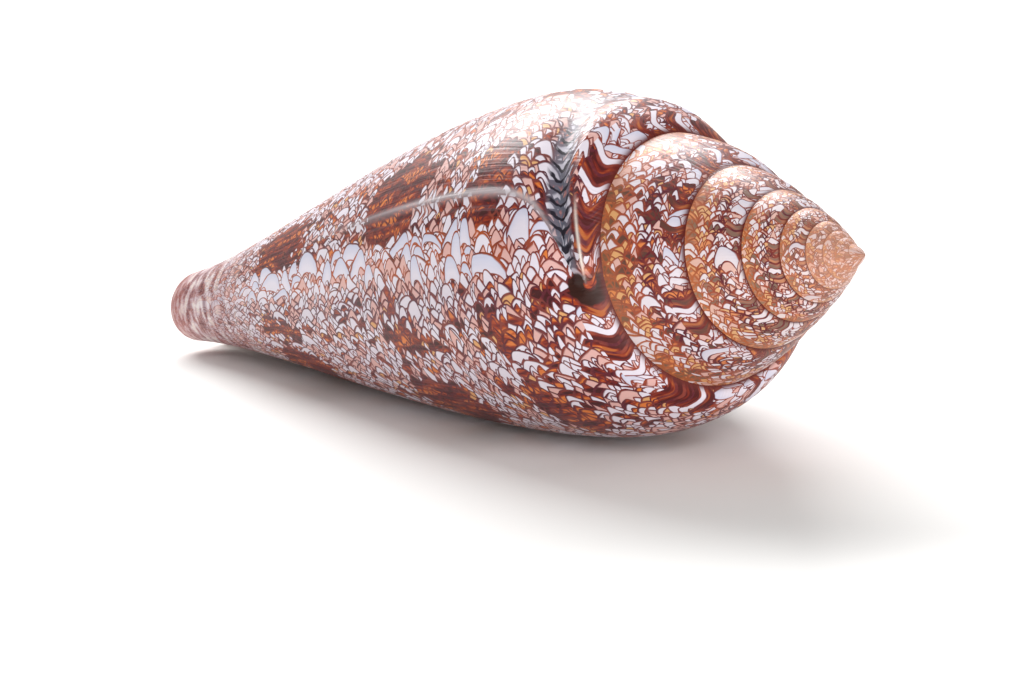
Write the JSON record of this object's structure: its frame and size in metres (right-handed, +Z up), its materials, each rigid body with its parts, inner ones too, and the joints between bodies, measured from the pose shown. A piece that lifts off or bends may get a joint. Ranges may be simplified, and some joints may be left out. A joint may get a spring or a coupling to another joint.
{
  "type": "cone shell",
  "caption": "Empty sea snail shell, long tapering cone with a tall stepped spire and a narrow slit aperture, lying on its side.",
  "frame": {"origin": "centre of the bounding box, at the flat surface the shell lies on", "axes": "+X towards the apex of the spire, -X towards the narrow front end, +Z up from the surface"},
  "size_m": [0.1082, 0.039, 0.0355],
  "materials": {
    "shell": "glossy, porcelain-like"
  },
  "bodies": {
    "root": {"shell": "shell"}
  },
  "joints": []
}
